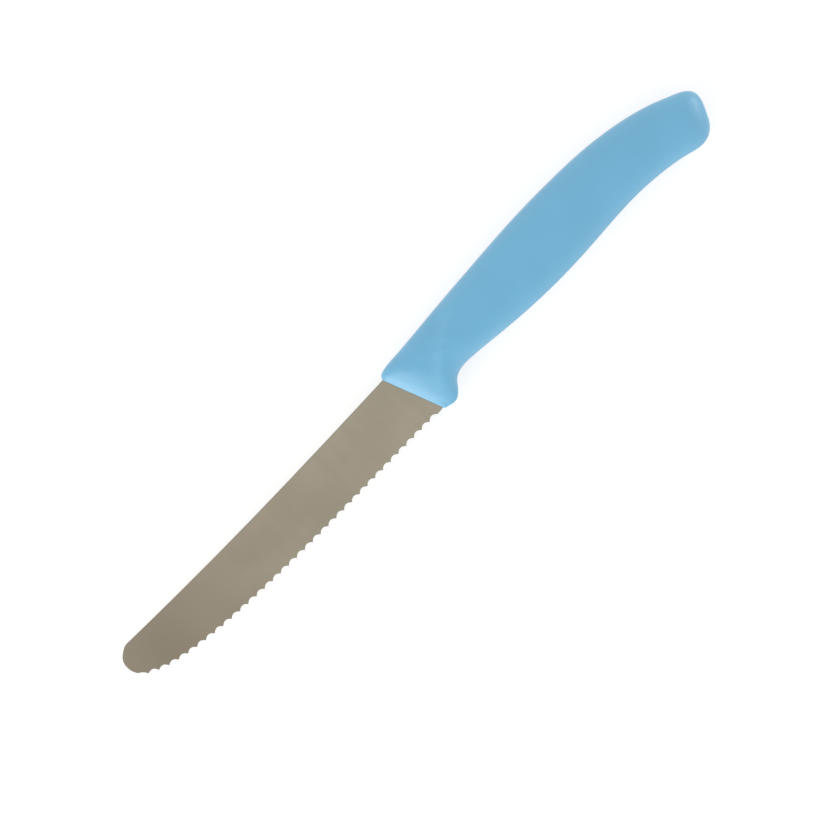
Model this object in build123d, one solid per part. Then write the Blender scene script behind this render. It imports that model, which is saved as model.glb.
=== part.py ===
# A tomato knife: a thin scalloped blade with its tang, and a plastic handle moulded round the tang.
# The knife is modelled with the spine's corner at the handle's front as the zero point:
# +X runs from the nose of the blade to the butt, +Y towards the spine and +Z to the blade's left side.
# At the end both pieces move together, so that the knife lies on its right side on the plane Z = 0.
import os
from math import cos, pi, radians, sin, sqrt, tan

from build123d import *

mm = 1.0

# Blade
blade_reach = 106.58 * mm        # nose to the handle's front, along the spine
blade_depth = 17.2 * mm          # spine to edge where the blade meets the handle
sheet_thickness = 1.3 * mm       # full thickness, at the spine and in the tang
edge_thickness = 0.45 * mm       # thickness left at the edge line, before the scallops
spine_easing = 0.18 * mm         # small round along the spine and the nose

# Places along the blade as shares of blade_reach (X) and of blade_depth (Y), from the handle to the nose.
spine_shares = [(-0.25, -0.065), (-0.52, -0.116), (-0.79, -0.134), (-0.955, -0.127)]
nose_shares = [(-0.979, -0.184), (-0.994, -0.27), (-0.9998, -0.378), (-0.9985, -0.485)]
edge_shares = [(-0.991, -0.59), (-0.9715, -0.72), (-0.945, -0.804), (-0.832, -0.97), (-0.66, -1.0545),
               (-0.43, -1.0744), (-0.2, -1.048), (0.04, -1.0145)]

# Scallops, ground into the right side only
scallop_pitch = 3.1 * mm         # tip to tip
scallop_depth = 0.88 * mm        # tips to hollows, seen from the side
first_depth_share = 0.36         # the first hollow, on the nose, is this share as deep as the others
tip_flat = 0.08 * mm             # width left on each tip
grinding_angle = radians(20)     # between the hollow's floor and the blade's plane
grinding_rounds = 4              # every fourth hollow is cut together, so that the stones don't meet

# Root and tang, hidden in the handle
root_length = 1.5 * mm           # from the handle's front to the tang, ground like the blade
root_relief = 0.05 * mm          # the root's sides lie this much below the blade's, which end at the handle
tang_length = 82.0 * mm          # from the spine's corner back
tang_width = 9.0 * mm            # behind the heel
tang_end_width = 7.0 * mm
tang_drop = 0.2 * mm             # the tang's upper side lies this much below the spine's corner
tang_end_round = 2.5 * mm
heel_length = 9.0 * mm           # where the tang's lower side rises from the heel to the tang's width
locking_hole = 4.2 * mm          # diameter
locking_hole_shares = [0.34, 0.6, 0.86]   # of tang_length

# Handle
handle_length = 118.0 * mm       # front corner to butt
grip_height = 6.85 * mm          # highest point of the back above the spine's corner
grip_depth = 14.6 * mm           # lowest point of the belly below the spine's corner
front_rise = 0.2 * mm            # the front face starts this much above the spine
front_lip = 0.45 * mm            # and ends this much below the edge
front_slant = radians(21.2)      # the front face leans back towards the edge
guard_drop = 1.1 * mm            # the finger guard reaches this much below the blade's edge
guard_length = 22.2 * mm         # front corner to the end of the guard's hollow

# The back: X as shares of handle_length, Y as shares of grip_height.
back_shares = [(0.005, 0.165), (0.017, 0.257), (0.057, 0.34), (0.17, 0.52), (0.34, 0.776), (0.49, 0.96),
               (0.621, 0.999), (0.715, 0.945), (0.81, 0.74), (0.904, 0.336), (0.96, -0.045), (0.986, -0.283),
               (0.998, -0.555), (0.9995, -0.774), (0.995, -1.095)]
# The guard: X as shares of guard_length, Y as shares of the guard's depth.
guard_shares = [(0.36, -0.977), (0.425, -0.998), (0.482, -0.998), (0.55, -0.953), (0.6, -0.893),
                (0.676, -0.778), (0.752, -0.723), (0.851, -0.696), (1.0, -0.696)]
# The belly: X as shares of handle_length, Y as shares of grip_depth.
belly_shares = [(0.264, -0.925), (0.376, -0.989), (0.471, -1.0), (0.565, -0.966), (0.659, -0.908),
                (0.735, -0.884), (0.81, -0.918), (0.885, -1.018), (0.932, -1.079), (0.953, -1.027),
                (0.968, -0.932), (0.977, -0.836)]

front_half = 2.1 * mm            # half thickness of the front face
neck_half = 5.9 * mm             # half thickness of the grip behind the guard
belly_half = 6.5 * mm            # half thickness at the grip's thickest place
butt_half = 5.8 * mm             # half thickness before the butt rounds off
butt_round_length = 8.0 * mm     # the sides round off over this length before the butt's end
butt_round_depth = 4.5 * mm      # and get this much thinner on each side
bevel_length_back = 6.7 * mm     # length of the front bevel at the spine
bevel_length_guard = 11.2 * mm   # and at the guard
bevel_power = 2.16               # how fast the bevel flattens out
scoop_share_back = 0.2           # how much thinner the handle is ahead of the crease at the spine
scoop_share_guard = 0.06         # and at the guard
crease_width_back = 7.0 * mm     # length over which the scoop runs out into the grip at the spine
crease_width_guard = 4.4 * mm    # and at the guard
crease_start = 9.9 * mm          # the crease at the guard, behind the front corner
crease_lean = 5.2 * mm           # how far it leans back on its way up
crease_sweep = 9.5 * mm          # and how far it sweeps back near the spine
crease_power = 4
pocket_place = (18.5 * mm, -9.4 * mm)     # shallow hollow where guard, crease and crest meet
pocket_radius = 5.5 * mm
pocket_share = 0.055             # depth as a share of the local half thickness
crest_share = 0.39               # height of the thickest line in the grip, from the belly up
round_power = 2.6                # section form of the grip: 2 is an ellipse, more is boxier
front_power = 3.0                # section form of the front face

# Where along the handle the thickness changes, as shares of its length
swell_shares = (0.03, 0.2)
taper_shares = (0.62, 1.0)
crest_in_shares = (0.05, 0.2)
crest_out_shares = (0.84, 0.97)
front_form_shares = (0.0, 0.08)

# Sections of the handle: how many there are up to a share of its length. They stand closest at the front.
section_zones_shares = [(0.22, 26), (0.88, 16), (1.0, 12)]
side_points = 16                 # points of a section from back to belly, on each side

overrun = 3.0 * mm               # how far cutting shapes run past what they cut


def ease(value):
    """Goes smoothly from 0 to 1 while the value goes from 0 to 1."""
    value = min(max(value, 0), 1)
    return value * value * (3 - 2 * value)


def ease_between(value, limits):
    """Goes smoothly from 0 to 1 between two limits."""
    return ease((value - limits[0]) / (limits[1] - limits[0]))


def mix(first, second, share):
    return first + (second - first) * share


def places(shares, length, depth):
    """Turns a list of shares into points in the blade's plane."""
    return [Vector(across * length, up * depth) for across, up in shares]


def front_point(height):
    """The point of the handle's front face at a height over the spine's corner."""
    return Vector(-height * tan(front_slant), height)


def root_point(height):
    """The point inside the handle where blade and tang meet, at a height over the spine's corner."""
    return front_point(height) + Vector(root_length, 0)


front_top = front_point(front_rise)
front_bottom = front_point(-blade_depth - front_lip)
front_normal = Vector(cos(front_slant), sin(front_slant))


def behind_front(point):
    """Distance of a point behind the handle's front face."""
    return (point - front_top).dot(front_normal)


def edge_line():
    """The line through the tips of the scallops, from the nose to the plain heel."""
    return Edge.make_spline(places(edge_shares, blade_reach, blade_depth))


def blade_outline():
    """Outline of the blade ahead of the handle."""
    spine_end, heel = front_point(0), front_point(-blade_depth)
    edge = edge_line()
    spine = Edge.make_spline([spine_end] + places(spine_shares, blade_reach, blade_depth))
    nose_points = [spine @ 1] + places(nose_shares, blade_reach, blade_depth) + [edge @ 0]
    nose = Edge.make_spline(nose_points, tangents=[spine % 1, edge % 0])
    return Face(Wire([spine, nose, edge, Edge.make_line(edge @ 1, heel), Edge.make_line(heel, spine_end)]))


def side_height(depth):
    """Height of the blade's left side over its middle plane, at a depth below the spine."""
    return sheet_thickness / 2 - depth / blade_depth * (sheet_thickness - edge_thickness) / 2


def flat_ground(relief=0):
    """The wedge between the flat-ground sides, from the spine to past the edge, less a relief on each."""
    low = blade_depth + overrun
    corners = [(overrun, sheet_thickness / 2), (0, sheet_thickness / 2), (-low, side_height(low))]
    left = [Vector(0, y, z - relief) for y, z in corners]
    right = [Vector(0, y, relief - z) for y, z in reversed(corners)]
    section = Wire.make_polygon(left + right)
    wedge = extrude(Face(section), amount=blade_reach + handle_length, dir=(-1, 0, 0))
    return wedge.moved(Location((handle_length, 0, 0)))


def scallop_cutter(tip, next_tip, depth):
    """A round grinding stone that makes the hollow between two tips."""
    along = (next_tip - tip).normalized()
    inward = Vector(-along.Y, along.X)
    half_chord = ((next_tip - tip).length - tip_flat) / 2
    drop = depth * sin(grinding_angle)
    radius = (half_chord ** 2 + drop ** 2) / (2 * drop)
    hollow = (tip + next_tip) / 2 + inward * depth
    hollow.Z = side_height(-hollow.Y)
    floor_line = inward * cos(grinding_angle) - Vector(0, 0, 1) * sin(grinding_angle)
    to_axis = inward * -sin(grinding_angle) - Vector(0, 0, 1) * cos(grinding_angle)
    return Plane(origin=hollow + to_axis * radius, z_dir=floor_line) * Cylinder(radius, 2 * overrun)


def scallop_cutters():
    """One grinding stone for each hollow, evenly spaced along the edge. The first one grinds less."""
    edge = edge_line()
    count = round(edge.length / scallop_pitch)
    tips = [edge @ (number / count) for number in range(count + 1)]
    depths = [first_depth_share * scallop_depth] + [scallop_depth] * (count - 1)
    print("hollows along the edge:", count, "pitch:", edge.length / count)
    return [scallop_cutter(*ends, depth) for *ends, depth in zip(tips, tips[1:], depths)]


def ground_blade():
    """The flat-ground blade ahead of the handle, with its spine and nose eased, before the scallops."""
    blank = extrude(blade_outline(), amount=sheet_thickness / 2, both=True)
    ground = blank & flat_ground()
    long_edges = ground.edges() - ground.edges().filter_by(Axis.Z)
    spine_and_nose = long_edges.sort_by(Axis.Y)[-4:]
    return fillet(spine_and_nose, spine_easing)


def make_root():
    """The blade's root just inside the handle."""
    upper = [front_point(-tang_drop), root_point(-tang_drop)]
    lower = [root_point(-blade_depth), front_point(-blade_depth)]
    blank = extrude(Face(Wire.make_polygon(upper + lower)), amount=sheet_thickness / 2, both=True)
    return blank & flat_ground(root_relief)


def make_tang():
    """The root and the flat tang behind it, with its locking holes."""
    spine_end, heel = root_point(-tang_drop), root_point(-blade_depth)
    shoulder = Vector(heel.X + heel_length, -tang_drop - tang_width)
    end_top = Vector(tang_length, -tang_drop)
    end_bottom = Vector(tang_length, -tang_drop - tang_end_width)
    sides = Polyline(spine_end, end_top, end_bottom, shoulder)
    rise = Edge.make_spline([shoulder, heel], tangents=[shoulder - end_bottom, (-1, -1)])
    outline = Face(Wire(sides.edges() + [rise, Edge.make_line(heel, spine_end)]))
    tang = extrude(outline, amount=sheet_thickness / 2, both=True)
    end_corners = tang.edges().filter_by(Axis.Z).sort_by(Axis.X)[-2:]
    tang = fillet(end_corners, tang_end_round)
    hole_height = -tang_drop - tang_end_width / 2
    hole = Cylinder(locking_hole / 2, sheet_thickness + overrun)
    for share in locking_hole_shares:
        tang -= Pos(tang_length * share, hole_height, 0) * hole
    return tang + make_root()


def make_blade():
    blade = ground_blade() + make_tang()
    cutters = scallop_cutters()
    for start in range(grinding_rounds):
        blade -= cutters[start::grinding_rounds]
    return blade


def back_line():
    return Edge.make_spline([front_top] + places(back_shares, handle_length, grip_height))


def belly_line():
    guard = places(guard_shares, guard_length, blade_depth + guard_drop)
    belly = places(belly_shares, handle_length, grip_depth)
    return Edge.make_spline([front_bottom] + guard + belly)


def crease_place(height):
    """How far behind the front corner the crease runs, at a height over the spine's corner."""
    guard_depth = blade_depth + guard_drop
    share = min(max((height + guard_depth) / guard_depth, 0), 1)
    return crease_start + crease_lean * share + crease_sweep * share ** crease_power


def side_factor(point):
    """How much the handle is thinned at a point: front bevel, scoop ahead of the crease, and pocket."""
    down = min(max(-point.Y / blade_depth, 0), 1)
    bevel_length = mix(bevel_length_back, bevel_length_guard, down)
    bevel_share = min(max(behind_front(point) / bevel_length, 0), 1)
    scooped = 1 - mix(scoop_share_back, scoop_share_guard, down)
    level = mix(front_half / neck_half, scooped, 1 - (1 - bevel_share) ** bevel_power)
    crease_width = mix(crease_width_back, crease_width_guard, down)
    past_crease = (point.X - crease_place(point.Y)) / crease_width + 1 / 2
    from_pocket = (point - Vector(*pocket_place)).length
    pocket = pocket_share * (1 - ease(from_pocket / pocket_radius))
    return mix(level, level / scooped, ease(past_crease)) - pocket


def ahead_of_end(back, belly, point):
    """Distance of a point ahead of the butt's end face."""
    upright = (back @ 1 - belly @ 1).normalized()
    return (back @ 1 - point).dot(Vector(upright.Y, -upright.X))


def half_thickness(share, from_end):
    """Half thickness of the handle at its thickest line, before the front is thinned."""
    half = mix(neck_half, belly_half, ease_between(share, swell_shares))
    half += (butt_half - belly_half) * ease_between(share, taper_shares)
    into_round = 1 - min(max(from_end / butt_round_length, 0), 1)
    return half - butt_round_depth * (1 - sqrt(1 - into_round ** 2))


def handle_section(back, belly, share):
    """Closed section between a point of the back and a point of the belly."""
    top, bottom = back @ share, belly @ share
    form = ease_between(share, front_form_shares)
    power = 2 / mix(front_power, round_power, form)
    grip = ease_between(share, crest_in_shares) * (1 - ease_between(share, crest_out_shares))
    crest = mix(bottom, top, mix(1 / 2, crest_share, grip))
    half = half_thickness(share, ahead_of_end(back, belly, (top + bottom) / 2))
    left = [top]
    for number in range(1, side_points):
        turn = pi * number / side_points
        reach = abs(cos(turn)) ** power
        point = mix(crest, top if number < side_points / 2 else bottom, reach)
        point.Z = half * side_factor(point) * sin(turn) ** power
        left.append(point)
    left.append(bottom)
    right = [Vector(point.X, point.Y, -point.Z) for point in reversed(left)]
    knots = [number / side_points for number in range(side_points + 1)]
    up, down = Vector(0, 0, 1), Vector(0, 0, -1)
    left_edge = Edge.make_spline(left, tangents=[up, down], parameters=knots)
    right_edge = Edge.make_spline(right, tangents=[down, up], parameters=knots)
    return Wire([left_edge, right_edge])


def section_places():
    """How far along the handle each section stands, as a share of its length."""
    found, start = [0], 0
    for end, count in section_zones_shares:
        found += [mix(start, end, number / count) for number in range(1, count + 1)]
        start = end
    return found


def make_handle():
    """The handle, moulded round the blade's root and the tang, so that plastic fills the locking holes."""
    back, belly = back_line(), belly_line()
    sections = [handle_section(back, belly, share) for share in section_places()]
    return Solid.make_loft(sections) - make_tang()


def main():
    blade = make_blade()
    handle = make_handle()
    box = Compound([blade, handle]).bounding_box()
    to_ground = Location((-box.center().X, -box.center().Y, -box.min.Z))
    os.makedirs("parts", exist_ok=True)
    for name, piece in (("blade", blade), ("handle", handle)):
        export_step(piece.moved(to_ground), f"parts/{name}.step")
    left_side = blade.moved(to_ground).faces().sort_by(SortBy.AREA)[-1]
    print("blade's left side: centre", left_side.center(), "facing", left_side.normal_at())
    print("whole knife:", box.size, "moved by", to_ground.position)


main()
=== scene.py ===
"""Looks of a tomato knife: a satin blade with ground scallops, a moulded plastic handle and a plain studio.

The knife lies on its right side. +X runs from the nose of the blade to the butt of the handle,
+Y towards the spine and +Z to the blade's left side, which faces up.
"""

from math import ceil, cos, pi, radians, sin

import bmesh
import bpy
from bpy.props import FloatProperty, FloatVectorProperty, IntProperty, PointerProperty
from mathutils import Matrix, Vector
from mathutils.bvhtree import BVHTree


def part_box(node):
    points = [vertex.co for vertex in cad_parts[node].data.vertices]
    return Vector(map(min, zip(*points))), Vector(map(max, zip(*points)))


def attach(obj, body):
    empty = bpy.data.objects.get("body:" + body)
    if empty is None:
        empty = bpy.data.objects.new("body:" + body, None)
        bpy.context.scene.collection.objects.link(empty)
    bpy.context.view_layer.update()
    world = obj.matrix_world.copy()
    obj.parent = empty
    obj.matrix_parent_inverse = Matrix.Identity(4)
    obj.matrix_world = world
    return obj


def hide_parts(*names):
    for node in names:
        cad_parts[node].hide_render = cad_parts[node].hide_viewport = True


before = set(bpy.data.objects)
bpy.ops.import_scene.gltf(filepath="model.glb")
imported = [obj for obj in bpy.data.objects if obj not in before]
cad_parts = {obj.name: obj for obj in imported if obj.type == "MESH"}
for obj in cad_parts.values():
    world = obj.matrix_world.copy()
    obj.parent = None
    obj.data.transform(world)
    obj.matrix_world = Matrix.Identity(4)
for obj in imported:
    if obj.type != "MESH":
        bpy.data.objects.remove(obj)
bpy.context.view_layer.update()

bl_info = {
    "name": "Tomato Knife",
    "version": (1, 0, 0),
    "blender": (4, 5, 0),
    "location": "3D View > Sidebar > Knife",
    "description": "Dresses a tomato knife and sets a plain studio round it",
    "category": "Object",
}

mm = 0.001
blade_low, blade_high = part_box("blade")
handle_low, handle_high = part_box("handle")
spine_corner = Vector((handle_low.x, blade_high.y, (handle_low.z + handle_high.z) / 2))
handle_middle = (handle_low.x + handle_high.x) / 2
grip_half = (handle_high.z - handle_low.z) / 2
merge_distance = 0.0005 * mm          # points closer than this become one

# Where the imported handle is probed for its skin, as heights over the spine's corner
front_heights = (-3 * mm, -13 * mm)   # two heights on the flat front
beside_blade = 1.3 * mm               # off the blade's plane, so that a ray meets the front's plastic
butt_heights = (-8.5 * mm, -11 * mm)  # two heights on the butt's flat end
ring_heights = (0, -16 * mm)          # two heights that set the plane of each ring
ray_length = 60 * mm                  # from inside the handle to well outside it
centre_share = 0.45                   # height of a ring's centre, from the belly up
seam_halves = 3                       # the wide columns start this many half seams beside the seam
smoothing_factor = 0.5                # how far one pass of smoothing moves a point
rim_segments = 3                      # faces across the round at the front's rim

# Angles between faces past which an edge looks sharp
handle_crease = radians(50)
blade_crease = radians(40)
hollow_crease = radians(12)
flat_crease = radians(1)
flat_lean = radians(2)                # a face that leans less belongs to the blade's flat sides

# The blade's materials after the first one, which is the satin steel of its sides
ground_slot, rim_slot = 1, 2

# Middle of the soft dark patch painted on the steel near the nose, a painted shade
shade_patch_from_nose = 11 * mm
shade_patch_from_spine = 13 * mm

# Reference picture: its side, the scale along the knife, and where the spine meets the handle in it
picture_side = 828
pixels_per_mm = 3.6
corner_pixel = (382.4, 380.4)
knife_slope = radians(44.6)      # between the knife and the picture's lower side


# Shapes

def merged_copy(node):
    """A frame node's mesh with its doubles merged."""
    shape = bmesh.new()
    shape.from_mesh(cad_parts[node].data)
    bmesh.ops.remove_doubles(shape, verts=shape.verts, dist=merge_distance)
    return shape


def finished_piece(name, shape, materials, node):
    """Makes an object of a shape, in place of a frame node."""
    mesh = bpy.data.meshes.new(name)
    shape.to_mesh(mesh)
    shape.free()
    for material in materials:
        mesh.materials.append(material)
    if "custom_normal" in mesh.attributes:
        mesh.attributes.remove(mesh.attributes["custom_normal"])
    piece = bpy.data.objects.new(name, mesh)
    bpy.context.scene.collection.objects.link(piece)
    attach(piece, "root")
    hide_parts(node)
    return piece


def outer_place(surface, inside, direction):
    """The outermost place of a surface in a direction, seen from a point inside."""
    place = surface.ray_cast(inside + direction * ray_length, -direction)[0]
    if place is None:
        raise RuntimeError("a ray missed the frame's handle")
    return place


def face_line(surface, heights, beside, way):
    """The line in which a flat end of the handle crosses the blade's plane, as two places."""
    places = []
    for height in heights:
        inside = Vector((handle_middle, spine_corner.y + height, spine_corner.z + beside))
        place = outer_place(surface, inside, Vector((way, 0, 0)))
        place.z = spine_corner.z
        places.append(place)
    return places


def at_height(line, height):
    """Where a line in the blade's plane passes a height."""
    low, high = line
    share = (height - low.y) / (high.y - low.y)
    return low + (high - low) * share


def ring_distances(length, look):
    """Distances of the skin's rings behind the handle's front: close at the front and round the butt."""
    start, front_end = look.first_ring, look.front_length
    count = ceil((front_end - start) / look.front_step)
    found = [start + (front_end - start) * number / count for number in range(count)]
    round_start = length - look.butt_round
    count = ceil((round_start - front_end) / look.grip_step)
    found += [front_end + (round_start - front_end) * number / count for number in range(count)]
    for number in range(look.butt_rings):
        turn = pi / 2 * (1 - number / look.butt_rings)
        found.append(length - look.butt_round * (1 - cos(turn)))
    return found + [length - look.first_ring]


def column_turns(look):
    """Angles of the skin's columns round the handle, from the back, narrow beside the parting line."""
    narrow = look.seam_width / 2 / grip_half
    start = seam_halves * narrow
    steps = look.side_columns - 1
    wide = [start + (pi - 2 * start) * number / steps for number in range(look.side_columns)]
    half = [narrow] + wide + [pi - narrow]
    return [0] + half + [pi] + [2 * pi - turn for turn in reversed(half)]


def skin_ring(surface, top, bottom, turns):
    """Places of one ring of the skin, in the plane through two places of the handle's outline."""
    upward = (top - bottom).normalized()
    centre = bottom.lerp(top, centre_share)
    across = Vector((0, 0, 1))
    thickness = (outer_place(surface, centre, across) - centre).length
    above, below = (top - centre).length, (centre - bottom).length
    places = []
    for turn in turns:
        height = above if cos(turn) > 0 else below
        direction = upward * cos(turn) * height + across * sin(turn) * thickness
        places.append(outer_place(surface, centre, direction.normalized()))
    return places


def skin_places(surface, look):
    """Places of all rings of the handle's skin, from the front to the butt."""
    front = face_line(surface, front_heights, beside_blade, -1)
    butt = face_line(surface, butt_heights, 0, 1)
    turns = column_turns(look)
    high, low = (spine_corner.y + height for height in ring_heights)
    middle = (high + low) / 2
    length = at_height(butt, middle).x - at_height(front, middle).x
    rings = []
    for distance in ring_distances(length, look):
        share = distance / length
        upper, lower = (at_height(front, height).lerp(at_height(butt, height), share)
                        for height in (high, low))
        upward = (upper - lower).normalized()
        inside = (upper + lower) / 2
        top = outer_place(surface, inside, upward)
        bottom = outer_place(surface, inside, -upward)
        rings.append(skin_ring(surface, top, bottom, turns))
    return rings


def laid_tube(rings):
    """A tube of four-sided faces through the places of the given rings, open at both ends."""
    steps, columns = len(rings) - 1, len(rings[0])
    shape = bmesh.new()
    bmesh.ops.create_grid(shape, x_segments=steps, y_segments=columns, size=1)
    for vertex in shape.verts:
        ring = round((vertex.co.x + 1) / 2 * steps)
        column = round((vertex.co.y + 1) / 2 * columns) % columns
        vertex.co = rings[ring][column]
    bmesh.ops.remove_doubles(shape, verts=shape.verts, dist=merge_distance)
    return shape


def close_front(shape, rim, rounding):
    """Fills the tube's open end at the front and rounds the rim of the new face."""
    bmesh.ops.contextual_create(shape, geom=rim)
    bmesh.ops.bevel(shape, geom=rim, offset=rounding, segments=rim_segments, profile=0.5,
                    affect="EDGES", material=-1)


def close_butt(shape, rim, inset):
    """Fills the tube's open end at the butt, with a narrow band round the new face."""
    face = bmesh.ops.contextual_create(shape, geom=rim)["faces"][0]
    bmesh.ops.inset_region(shape, faces=[face], thickness=inset, use_even_offset=True)


def handle_skin(look):
    """The handle's skin as one closed shape of even four-sided faces, laid over the frame's handle."""
    solid = merged_copy("handle")
    surface = BVHTree.FromBMesh(solid)
    solid.free()
    shape = laid_tube(skin_places(surface, look))
    inner = [vertex for vertex in shape.verts if not vertex.is_boundary]
    for _ in range(look.smoothing):
        bmesh.ops.smooth_vert(shape, verts=inner, factor=smoothing_factor,
                              use_axis_x=True, use_axis_y=True, use_axis_z=True)
    shape.normal_update()
    for vertex in inner:
        if abs(vertex.co.z - spine_corner.z) < look.seam_width / 4:
            vertex.co -= vertex.normal * look.seam_depth
    open_edges = [edge for edge in shape.edges if edge.is_boundary]
    front_rim = [edge for edge in open_edges if edge.verts[0].co.x < handle_middle]
    butt_rim = [edge for edge in open_edges if edge.verts[0].co.x > handle_middle]
    close_front(shape, front_rim, look.rim_round)
    close_butt(shape, butt_rim, look.rim_round)
    bmesh.ops.recalc_face_normals(shape, faces=shape.faces)
    set_creases(shape, handle_crease)
    return shape


def set_creases(shape, limit):
    """Shades a shape smooth, with creases where faces meet at more than an angle."""
    for face in shape.faces:
        face.smooth = True
    for edge in shape.edges:
        edge.smooth = edge.calc_face_angle(0) < limit


def crease_ground_edges(shape):
    """Adds the faint creases all round the blade's flat sides and its ground hollows."""
    for edge in shape.edges:
        if any(abs(face.normal.z) > cos(flat_lean) for face in edge.link_faces):
            edge.smooth = edge.calc_face_angle(0) < flat_crease
        elif any(face.material_index == ground_slot for face in edge.link_faces):
            edge.smooth = edge.calc_face_angle(0) < hollow_crease


def ground_blade(look):
    """The blade as in the frame, with hollows and narrow edges in materials of their own."""
    shape = merged_copy("blade")
    spine_side = blade_high.y - look.spine_zone
    for face in shape.faces:
        middle = face.calc_center_median()
        in_blade = middle.x < handle_low.x and middle.y < spine_side
        if in_blade and -cos(look.hollow_lean) < face.normal.z < -sin(look.hollow_lean):
            face.material_index = ground_slot
        elif abs(face.normal.z) < cos(look.hollow_lean):
            face.material_index = rim_slot
    set_creases(shape, blade_crease)
    crease_ground_edges(shape)
    return shape


# Materials

# Steel
cloud_flatness = 0.6             # clouds of tone are this much shorter across the blade
streak_widths = 30               # a streak of tone is this many brush marks wide
streak_lengths = 2               # and this many long
cloud_weight = 0.7               # share of the clouds in the tone, the rest is streaks
tone_range = (0.36, 0.64)        # noise between which the tone changes
tone_change = 0.04               # how much lighter or darker the steel gets
grain_roughness = 0.025          # how much rougher or smoother a brush mark is
cloud_roughness = 0.015          # how much rougher or smoother a cloud is
scratch_range = (0.68, 0.74)     # noise that makes a scratch
scratch_gloss = 0.03             # how much smoother a scratch is
scratch_share = 0.25             # its depth as a share of the brush marks' depth
nose_shade_share = 0.05                # painted shade: the steel is painted fully dark over this share of the nose's zone
nose_drift = 0.2                 # the painted shade's border moves by this share of a cloud
ground_gloss = 0.08              # how much smoother the hollows are than the satin sides
ground_roughness = 0.04          # how much rougher or smoother a mark of the stone is
rim_tone = 0.1                   # how much lighter or darker the narrow edge gets
rim_marks = 2                    # its marks are this many brush marks wide, and as many times deeper
rim_mark_roughness = 0.06        # how much rougher or smoother such a mark is

# Plastic
plastic_tone = 0.015             # how much lighter or darker a cloud is
plastic_cloud_roughness = 0.02   # how much rougher or smoother it is
speck_sizes = 5                  # a speck is this many grains of texture wide
speck_roughness = 0.015          # how much rougher or smoother it is
speck_weight = 0.5               # its height as a share of the texture's
crest_share = 0.8                # the hand's polish starts at this share of the half thickness


def new_material(name):
    """An empty material with its tree, its surface shader and the object's own coordinates."""
    material = bpy.data.materials.new(name)
    material.use_nodes = True
    tree = material.node_tree
    shader = tree.nodes["Principled BSDF"]
    place = tree.nodes.new("ShaderNodeTexCoord").outputs["Object"]
    return material, tree, shader, place


def add_node(tree, kind, inputs=None, **settings):
    """A new node. An input that is a socket is linked, and any other value is set on the input itself."""
    node = tree.nodes.new(kind)
    for name, value in settings.items():
        setattr(node, name, value)
    for name, value in (inputs or {}).items():
        if isinstance(value, bpy.types.NodeSocket):
            tree.links.new(value, node.inputs[name])
        else:
            node.inputs[name].default_value = value
    return node


def noise(tree, place, sizes, detail=2.0, roughness=0.5):
    """Soft noise with features of the given sizes along X, Y and Z."""
    scale = [1 / size for size in sizes]
    mapped = add_node(tree, "ShaderNodeMapping", {"Vector": place, "Scale": scale}).outputs["Vector"]
    values = {"Vector": mapped, "Scale": 1.0, "Detail": detail, "Roughness": roughness}
    return add_node(tree, "ShaderNodeTexNoise", values).outputs["Fac"]


def spread(tree, value, out_range, in_range=(0.3, 0.7), smooth=False):
    """Maps a value from one range to another, and stops at its ends."""
    values = {"Value": value, "From Min": in_range[0], "From Max": in_range[1],
              "To Min": out_range[0], "To Max": out_range[1]}
    kind = "SMOOTHSTEP" if smooth else "LINEAR"
    return add_node(tree, "ShaderNodeMapRange", values, interpolation_type=kind).outputs["Result"]


def combine(tree, operation, first, second):
    """One step of arithmetic on two values or sockets."""
    node = add_node(tree, "ShaderNodeMath", {0: first, 1: second}, operation=operation)
    return node.outputs["Value"]


def blend_colours(tree, share, first, second):
    """A colour between two colours."""
    node = tree.nodes.new("ShaderNodeMix")
    node.data_type = "RGBA"
    for name, value in (("Factor_Float", share), ("A_Color", first), ("B_Color", second)):
        socket = next(entry for entry in node.inputs if entry.identifier == name)
        if isinstance(value, bpy.types.NodeSocket):
            tree.links.new(value, socket)
        else:
            socket.default_value = value
    return next(entry for entry in node.outputs if entry.identifier == "Result_Color")


def shade(colour, factor):
    """A colour made lighter or darker, with an alpha of 1."""
    return [min(part * factor, 1) for part in colour] + [1]


def varied_colour(tree, share, colour, change):
    """A colour that gets darker and lighter by a share of itself."""
    return blend_colours(tree, share, shade(colour, 1 - change), shade(colour, 1 + change))


def varied(tree, value, mean, change):
    """Maps noise to values up to a change below and above a mean."""
    return spread(tree, value, (mean - change, mean + change))


def add_bump(tree, shader, height, depth):
    """Raises the surface by a height pattern of a real depth."""
    values = {"Height": height, "Distance": depth, "Strength": 1.0}
    bump = add_node(tree, "ShaderNodeBump", values)
    tree.links.new(bump.outputs["Normal"], shader.inputs["Normal"])


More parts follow.
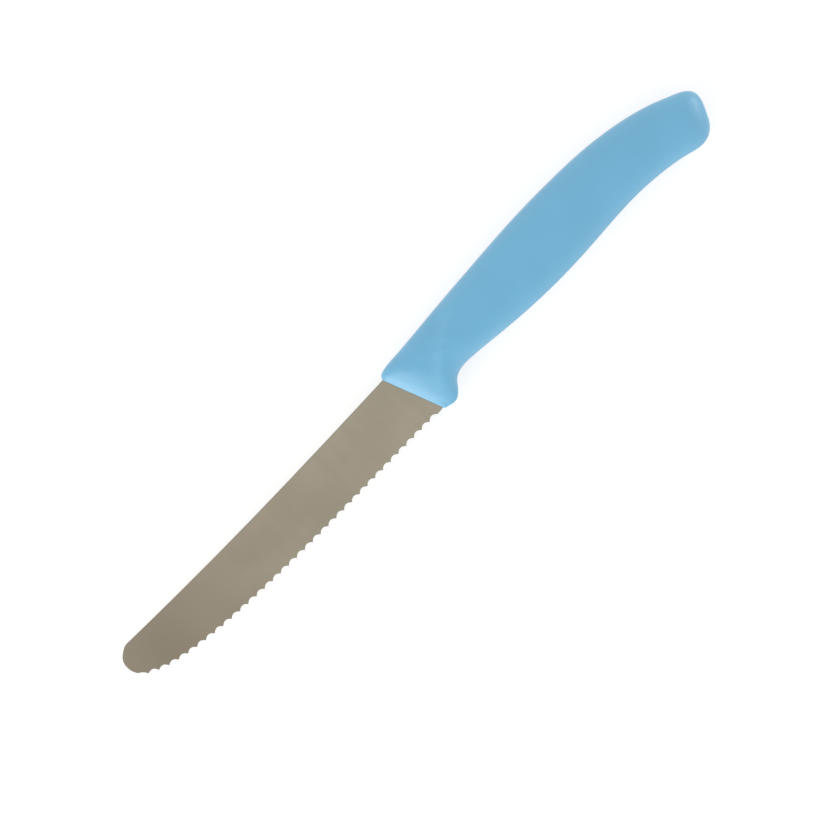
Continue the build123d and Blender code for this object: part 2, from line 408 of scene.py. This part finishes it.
def satin_steel(look):
    """Brushed across the blade, with soft clouds of tone, a few fine scratches of use along it, and painted
    shade that darkens the steel towards the nose and in a soft patch near it.
    """
    material, tree, shader, place = new_material("satin_steel")
    grain = noise(tree, place, (look.grain_width, look.grain_length, look.grain_width), detail=3.0)
    clouds = noise(tree, place, (look.cloud_size, look.cloud_size * cloud_flatness, look.cloud_size))
    streak_size = (look.grain_width * streak_widths, look.grain_length * streak_lengths, look.cloud_size)
    streaks = noise(tree, place, streak_size)
    scratch_size = (look.scratch_length, look.scratch_width, look.scratch_length)
    scratches = spread(tree, noise(tree, place, scratch_size, detail=1.0), (0, 1), scratch_range)
    cloud_part = combine(tree, "MULTIPLY", clouds, cloud_weight)
    streak_part = combine(tree, "MULTIPLY", streaks, 1 - cloud_weight)
    share = spread(tree, combine(tree, "ADD", cloud_part, streak_part), (0, 1), tone_range, smooth=True)
    colour = varied_colour(tree, share, look.steel_colour, tone_change)
    # Painted shade: the steel is painted darker towards the nose in place of the darker reflection there,
    # with a border that wanders with the clouds
    along = add_node(tree, "ShaderNodeSeparateXYZ", {"Vector": place}).outputs["X"]
    along = combine(tree, "ADD", along, varied(tree, clouds, 0, look.cloud_size * nose_drift))
    zone = (blade_low.x + nose_shade_share * look.nose_shade_zone, blade_low.x + look.nose_shade_zone)
    beyond_nose_shade = spread(tree, along, (0, 1), zone, smooth=True)
    colour = blend_colours(tree, beyond_nose_shade, shade(look.nose_shade_colour, 1), colour)
    # Painted shade: a soft dark patch near the nose, in a darker copy of the nose's painted shade colour
    shade_patch_place = Vector((blade_low.x + shade_patch_from_nose, spine_corner.y - shade_patch_from_spine, blade_high.z))
    away = add_node(tree, "ShaderNodeVectorMath", {0: place, 1: shade_patch_place}, operation="DISTANCE")
    beyond_shade_patch = spread(tree, away.outputs["Value"], (0, 1), (0, look.shade_patch_size), smooth=True)
    colour = blend_colours(tree, beyond_shade_patch, shade(look.nose_shade_colour, look.shade_patch_lightness), colour)
    tree.links.new(colour, shader.inputs["Base Color"])
    rough = varied(tree, grain, look.satin_roughness, grain_roughness)
    rough = combine(tree, "ADD", rough, varied(tree, clouds, 0, cloud_roughness))
    rough = combine(tree, "SUBTRACT", rough, combine(tree, "MULTIPLY", scratches, scratch_gloss))
    tree.links.new(rough, shader.inputs["Roughness"])
    height = combine(tree, "SUBTRACT", grain, combine(tree, "MULTIPLY", scratches, scratch_share))
    add_bump(tree, shader, height, look.grain_depth)
    shader.inputs["Metallic"].default_value = 1.0
    return material


def fresh_ground_steel(look):
    """The hollows of the scallops: brighter, with fine marks of the stone along the edge."""
    material, tree, shader, place = new_material("fresh_ground_steel")
    marks = noise(tree, place, (look.grain_length, look.grain_width, look.grain_width), detail=3.0)
    colour = varied_colour(tree, marks, look.ground_colour, tone_change)
    tree.links.new(colour, shader.inputs["Base Color"])
    rough = varied(tree, marks, look.satin_roughness - ground_gloss, ground_roughness)
    tree.links.new(rough, shader.inputs["Roughness"])
    add_bump(tree, shader, marks, look.grain_depth)
    shader.inputs["Metallic"].default_value = 1.0
    return material


def stamped_steel(look):
    """The narrow edge of the sheet along spine, nose and tips: dull and a little darker."""
    material, tree, shader, place = new_material("stamped_steel")
    mark_width = look.grain_width * rim_marks
    marks = noise(tree, place, (mark_width, mark_width, look.grain_length))
    colour = varied_colour(tree, marks, look.rim_colour, rim_tone)
    tree.links.new(colour, shader.inputs["Base Color"])
    rough = varied(tree, marks, look.rim_roughness, rim_mark_roughness)
    tree.links.new(rough, shader.inputs["Roughness"])
    add_bump(tree, shader, marks, look.grain_depth * rim_marks)
    shader.inputs["Metallic"].default_value = 1.0
    return material


def moulded_plastic(look):
    """Polypropylene with its mould's fine matte texture, faint clouds of tone and polish from the hand."""
    material, tree, shader, place = new_material("moulded_plastic")
    clouds = noise(tree, place, [look.cloud_size] * 3, detail=3.0)
    texture = noise(tree, place, [look.texture_size] * 3, detail=3.0, roughness=0.6)
    specks = noise(tree, place, [look.texture_size * speck_sizes] * 3)
    share = spread(tree, clouds, (0, 1), smooth=True)
    colour = varied_colour(tree, share, look.plastic_colour, plastic_tone)
    tree.links.new(colour, shader.inputs["Base Color"])
    height = add_node(tree, "ShaderNodeSeparateXYZ", {"Vector": place}).outputs["Z"]
    aside = combine(tree, "ABSOLUTE", combine(tree, "SUBTRACT", height, spine_corner.z), 0)
    polish = spread(tree, aside, (0, look.hand_polish), (grip_half * crest_share, grip_half), smooth=True)
    rough = varied(tree, specks, look.plastic_roughness, speck_roughness)
    rough = combine(tree, "ADD", rough, varied(tree, clouds, 0, plastic_cloud_roughness))
    tree.links.new(combine(tree, "SUBTRACT", rough, polish), shader.inputs["Roughness"])
    relief = combine(tree, "ADD", texture, combine(tree, "MULTIPLY", specks, speck_weight))
    add_bump(tree, shader, relief, look.texture_depth)
    shader.inputs["IOR"].default_value = look.plastic_ior
    shader.inputs["Specular IOR Level"].default_value = look.plastic_gloss
    return material


def studio_floor(look):
    """White paper: it takes the knife's shadow, and where it is seen a weak glow lifts it to white."""
    material = bpy.data.materials.new("studio_floor")
    material.use_nodes = True
    tree = material.node_tree
    tree.nodes.remove(tree.nodes["Principled BSDF"])
    rays = tree.nodes.new("ShaderNodeLightPath").outputs
    seen = combine(tree, "MAXIMUM", rays["Is Camera Ray"], rays["Is Glossy Ray"])
    seen = combine(tree, "MAXIMUM", seen, rays["Is Transmission Ray"])
    grey = spread(tree, seen, (look.floor_albedo, look.seen_albedo), (0, 1))
    paper = add_node(tree, "ShaderNodeBsdfDiffuse", {"Color": grey}).outputs["BSDF"]
    lift = combine(tree, "MULTIPLY", seen, look.floor_glow)
    glow = add_node(tree, "ShaderNodeEmission", {"Strength": lift})
    both = add_node(tree, "ShaderNodeAddShader", {0: paper, 1: glow.outputs["Emission"]})
    tree.links.new(both.outputs["Shader"], tree.nodes["Material Output"].inputs["Surface"])
    return material


# Studio

# Softboxes: name, heading and elevation seen from the knife, width and height, and strength
softboxes = (
    ("nose_softbox", radians(194), radians(20), (0.9, 0.4), 3.0),
    ("high_softbox", radians(180), radians(50), (0.5, 0.4), 1.6),
    ("butt_softbox", 0, radians(20), (0.5, 0.4), 2.1),
)

lamp_distance = 0.9              # from the knife to each softbox
sensor_width = 36                # Blender's own, in mm
sight_length = 50                # how far the camera sees, in metres


def lay_floor(look):
    """Lays a square of white paper under the knife."""
    shape = bmesh.new()
    bmesh.ops.create_grid(shape, x_segments=1, y_segments=1, size=look.floor_size / 2)
    mesh = bpy.data.meshes.new("floor")
    shape.to_mesh(mesh)
    shape.free()
    mesh.materials.append(studio_floor(look))
    floor = bpy.data.objects.new("floor", mesh)
    bpy.context.scene.collection.objects.link(floor)


def light_world(look):
    """Lights the scene softly from all round, weaker from straight above than from the horizon."""
    world = bpy.data.worlds.new("studio")
    bpy.context.scene.world = world
    world.use_nodes = True
    tree = world.node_tree
    direction = tree.nodes.new("ShaderNodeTexCoord").outputs["Generated"]
    height = add_node(tree, "ShaderNodeSeparateXYZ", {"Vector": direction}).outputs["Z"]
    strength = spread(tree, height, (look.horizon_strength, look.zenith_strength), (0, 1))
    tree.links.new(strength, tree.nodes["Background"].inputs["Strength"])
    tree.nodes["Background"].inputs["Color"].default_value = (1, 1, 1, 1)


def hang_lamp(name, heading, elevation, size, strength):
    """Hangs a softbox that faces the knife, seen from it under a heading and an elevation."""
    toward = Vector((cos(heading) * cos(elevation), sin(heading) * cos(elevation), sin(elevation)))
    light = bpy.data.lights.new(name, "AREA")
    light.shape = "RECTANGLE"
    light.size, light.size_y = size
    light.energy = strength * pi * size[0] * size[1]
    lamp = bpy.data.objects.new(name, light)
    bpy.context.scene.collection.objects.link(lamp)
    lamp.location = toward * lamp_distance
    lamp.rotation_euler = toward.to_track_quat("Z", "Y").to_euler()
    lamp.visible_camera = False


def place_camera(look):
    """Sets the camera straight above, with the spine's corner and the knife's slope as in the picture."""
    right = Vector((cos(knife_slope), -sin(knife_slope), 0))
    up = Vector((sin(knife_slope), cos(knife_slope), 0))
    aside = (corner_pixel[0] - picture_side / 2) / pixels_per_mm * mm
    above = (picture_side / 2 - corner_pixel[1]) / pixels_per_mm * mm
    camera_data = bpy.data.cameras.new("camera")
    camera = bpy.data.objects.new("camera", camera_data)
    bpy.context.scene.collection.objects.link(camera)
    camera.location = spine_corner - right * aside - up * above + Vector((0, 0, look.camera_distance))
    camera.rotation_euler = (0, 0, -knife_slope)
    field = picture_side / pixels_per_mm * mm
    camera_data.sensor_width = sensor_width
    camera_data.lens = sensor_width * look.camera_distance / field
    camera_data.clip_end = sight_length
    bpy.context.scene.camera = camera


# Properties

class BladeLook(bpy.types.PropertyGroup):
    """Sizes and colours of the blade's finish"""

    steel_colour: FloatVectorProperty(
        name="Steel Colour", description="Colour of the satin sides", subtype="COLOR",
        size=3, min=0, max=1, default=(0.575, 0.512, 0.392))
    # Painted shade: this colour is not the steel's own, it is painted towards the nose to stand in for the
    # darker reflection there
    nose_shade_colour: FloatVectorProperty(
        name="Nose Shade Colour", description="Colour of the steel at the nose, where it looks darker",
        subtype="COLOR", size=3, min=0, max=1, default=(0.42, 0.36, 0.272))
    # Length of the painted shade towards the nose
    nose_shade_zone: FloatProperty(
        name="Nose Shade Zone", description="Length over which the steel darkens towards the nose", unit="LENGTH",
        precision=4, min=1 * mm, default=95 * mm)
    # Painted shade: reach of the soft dark patch painted near the nose
    shade_patch_size: FloatProperty(
        name="Shade Patch Size", description="Reach of the soft dark place near the nose", unit="LENGTH",
        precision=4, min=1 * mm, default=13 * mm)
    # Painted shade: how light the painted dark patch is, as a share of the painted nose shade colour
    shade_patch_lightness: FloatProperty(
        name="Shade Patch Lightness", description="How light the dark place is, as a share of the nose colour",
        subtype="FACTOR", min=0.5, max=1, default=0.92)
    ground_colour: FloatVectorProperty(
        name="Ground Colour", description="Colour of the freshly ground hollows", subtype="COLOR",
        size=3, min=0, max=1, default=(0.62, 0.59, 0.54))
    rim_colour: FloatVectorProperty(
        name="Rim Colour", description="Colour of the sheet's narrow edge", subtype="COLOR",
        size=3, min=0, max=1, default=(0.3, 0.28, 0.24))
    satin_roughness: FloatProperty(
        name="Satin Roughness", description="Mean roughness of the satin sides", subtype="FACTOR",
        min=0.1, max=1, default=0.33)
    rim_roughness: FloatProperty(
        name="Rim Roughness", description="Mean roughness of the sheet's narrow edge", subtype="FACTOR",
        min=0.1, max=1, default=0.5)
    grain_width: FloatProperty(
        name="Grain Width", description="Width of one brush mark", unit="LENGTH",
        precision=5, min=0.01 * mm, default=0.09 * mm)
    grain_length: FloatProperty(
        name="Grain Length", description="Length of one brush mark", unit="LENGTH",
        precision=4, min=0.1 * mm, default=7 * mm)
    grain_depth: FloatProperty(
        name="Grain Depth", description="Depth of the brush marks", unit="LENGTH",
        precision=6, min=0, default=0.002 * mm)
    scratch_width: FloatProperty(
        name="Scratch Width", description="Width of a fine scratch of use", unit="LENGTH",
        precision=5, min=0.01 * mm, default=0.12 * mm)
    scratch_length: FloatProperty(
        name="Scratch Length", description="Length of a fine scratch of use", unit="LENGTH",
        precision=4, min=0.1 * mm, default=14 * mm)
    cloud_size: FloatProperty(
        name="Cloud Size", description="Size of the soft clouds of tone", unit="LENGTH",
        precision=4, min=1 * mm, default=30 * mm)
    hollow_lean: FloatProperty(
        name="Hollow Lean", description="Least lean of a face that counts as ground", subtype="ANGLE",
        min=0, default=radians(6))
    spine_zone: FloatProperty(
        name="Spine Zone", description="Depth below the spine that is never ground", unit="LENGTH",
        precision=4, min=0, default=5 * mm)


class HandleLook(bpy.types.PropertyGroup):
    """Sizes and colours of the handle's skin"""

    plastic_colour: FloatVectorProperty(
        name="Plastic Colour", description="Colour of the polypropylene", subtype="COLOR",
        size=3, min=0, max=1, default=(0.149, 0.447, 0.678))
    plastic_roughness: FloatProperty(
        name="Plastic Roughness", description="Mean roughness of the skin", subtype="FACTOR",
        min=0.1, max=1, default=0.36)
    plastic_ior: FloatProperty(
        name="Refractive Index", description="Refractive index of the plastic", min=1, max=2, default=1.49)
    plastic_gloss: FloatProperty(
        name="Plastic Gloss", description="Strength of the skin's gloss, where 0.5 is plain",
        subtype="FACTOR", min=0, max=1, default=0.95)
    hand_polish: FloatProperty(
        name="Hand Polish", description="How much smoother the crest is worn", subtype="FACTOR",
        min=0, max=0.2, default=0.03)
    texture_size: FloatProperty(
        name="Texture Size", description="Size of one grain of the mould's texture", unit="LENGTH",
        precision=5, min=0.02 * mm, default=0.22 * mm)
    texture_depth: FloatProperty(
        name="Texture Depth", description="Depth of the mould's texture", unit="LENGTH",
        precision=6, min=0, default=0.012 * mm)
    cloud_size: FloatProperty(
        name="Cloud Size", description="Size of the faint clouds of tone", unit="LENGTH",
        precision=4, min=1 * mm, default=12 * mm)
    first_ring: FloatProperty(
        name="End Clearance", description="How far inside both flat ends the last rings lie", unit="LENGTH",
        precision=5, min=0.001 * mm, default=0.02 * mm)
    front_length: FloatProperty(
        name="Front Length", description="Length of the front zone with close rings", unit="LENGTH",
        precision=4, min=1 * mm, default=28 * mm)
    front_step: FloatProperty(
        name="Front Step", description="Distance of the rings in the front zone", unit="LENGTH",
        precision=5, min=0.1 * mm, default=0.45 * mm)
    grip_step: FloatProperty(
        name="Grip Step", description="Distance of the rings along the grip", unit="LENGTH",
        precision=5, min=0.1 * mm, default=0.8 * mm)
    butt_round: FloatProperty(
        name="Butt Round", description="Length over which the butt rounds off", unit="LENGTH",
        precision=4, min=1 * mm, default=8 * mm)
    butt_rings: IntProperty(
        name="Butt Rings", description="Number of rings round the butt", min=4, max=60, default=26)
    side_columns: IntProperty(
        name="Side Columns", description="Number of wide columns on one side", min=8, max=120, default=52)
    seam_width: FloatProperty(
        name="Seam Width", description="Width of the mould's parting line along back and belly",
        unit="LENGTH", precision=5, min=0.01 * mm, default=0.2 * mm)
    seam_depth: FloatProperty(
        name="Seam Depth", description="Depth of the mould's parting line", unit="LENGTH",
        precision=5, min=0, default=0.04 * mm)
    rim_round: FloatProperty(
        name="Rim Round", description="Round between the front face and the sides", unit="LENGTH",
        precision=5, min=0.01 * mm, default=0.22 * mm)
    smoothing: IntProperty(
        name="Smoothing", description="Passes of smoothing over the skin", min=0, max=20, default=2)


class StudioLook(bpy.types.PropertyGroup):
    """Sizes and strengths of the studio"""

    floor_size: FloatProperty(
        name="Floor Size", description="Side of the square floor", unit="LENGTH", min=1, default=12)
    floor_albedo: FloatProperty(
        name="Floor Albedo", description="How much light the floor gives back to the knife",
        subtype="FACTOR", min=0, max=1, default=0.8)
    seen_albedo: FloatProperty(
        name="Seen Albedo", description="How much light the floor gives back where it is seen",
        subtype="FACTOR", min=0, max=1, default=0.4)
    floor_glow: FloatProperty(
        name="Floor Glow", description="Glow that lifts the seen floor to white", min=0, max=1, default=0.7)
    zenith_strength: FloatProperty(
        name="Zenith Strength", description="Light from straight above", min=0, default=0.55)
    horizon_strength: FloatProperty(
        name="Horizon Strength", description="Light from the horizon", min=0, default=1.05)
    camera_distance: FloatProperty(
        name="Camera Distance", description="Height of the camera over the blade", unit="LENGTH",
        min=0.1, default=1.2)


# Operators and panel

class KNIFE_OT_finish_blade(bpy.types.Operator):
    """Give the blade its satin sides and its ground scallops"""

    bl_idname = "knife.finish_blade"
    bl_label = "Finish Blade"
    bl_options = {"REGISTER", "UNDO"}

    def execute(self, context):
        look = context.scene.blade_look
        materials = [satin_steel(look), fresh_ground_steel(look), stamped_steel(look)]
        finished_piece("scalloped_blade", ground_blade(look), materials, "blade")
        return {"FINISHED"}


class KNIFE_OT_mould_handle(bpy.types.Operator):
    """Lay the moulded skin over the frame's handle"""

    bl_idname = "knife.mould_handle"
    bl_label = "Mould Handle"
    bl_options = {"REGISTER", "UNDO"}

    def execute(self, context):
        look = context.scene.handle_look
        materials = [moulded_plastic(look)]
        finished_piece("moulded_handle", handle_skin(look), materials, "handle")
        return {"FINISHED"}


class KNIFE_OT_set_studio(bpy.types.Operator):
    """Lay the floor, hang the lamps and place the camera"""

    bl_idname = "knife.set_studio"
    bl_label = "Set Studio"
    bl_options = {"REGISTER", "UNDO"}

    def execute(self, context):
        look = context.scene.studio_look
        lay_floor(look)
        light_world(look)
        for softbox in softboxes:
            hang_lamp(*softbox)
        place_camera(look)
        context.scene.view_settings.view_transform = "Standard"
        return {"FINISHED"}


class VIEW3D_PT_tomato_knife(bpy.types.Panel):
    """Lists the knife's operators and their sizes and colours"""

    bl_label = "Tomato Knife"
    bl_idname = "VIEW3D_PT_tomato_knife"
    bl_space_type = "VIEW_3D"
    bl_region_type = "UI"
    bl_category = "Knife"

    def draw(self, context):
        steps = (("knife.finish_blade", "blade_look"), ("knife.mould_handle", "handle_look"),
                 ("knife.set_studio", "studio_look"))
        for operator, group in steps:
            box = self.layout.box()
            box.operator(operator)
            look = getattr(context.scene, group)
            for name in look.bl_rna.properties.keys():
                if name not in ("rna_type", "name"):
                    box.prop(look, name)


classes = (BladeLook, HandleLook, StudioLook, KNIFE_OT_finish_blade, KNIFE_OT_mould_handle,
           KNIFE_OT_set_studio, VIEW3D_PT_tomato_knife)


def register():
    """Adds the classes and gives every scene the sizes and colours of the three looks."""
    for entry in classes:
        bpy.utils.register_class(entry)
    bpy.types.Scene.blade_look = PointerProperty(type=BladeLook)
    bpy.types.Scene.handle_look = PointerProperty(type=HandleLook)
    bpy.types.Scene.studio_look = PointerProperty(type=StudioLook)


def unregister():
    """Takes away what register added."""
    del bpy.types.Scene.studio_look
    del bpy.types.Scene.handle_look
    del bpy.types.Scene.blade_look
    for entry in reversed(classes):
        bpy.utils.unregister_class(entry)


def main():
    """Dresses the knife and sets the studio."""
    register()
    bpy.ops.knife.finish_blade()
    bpy.ops.knife.mould_handle()
    bpy.ops.knife.set_studio()


if __name__ == "__main__":
    main()
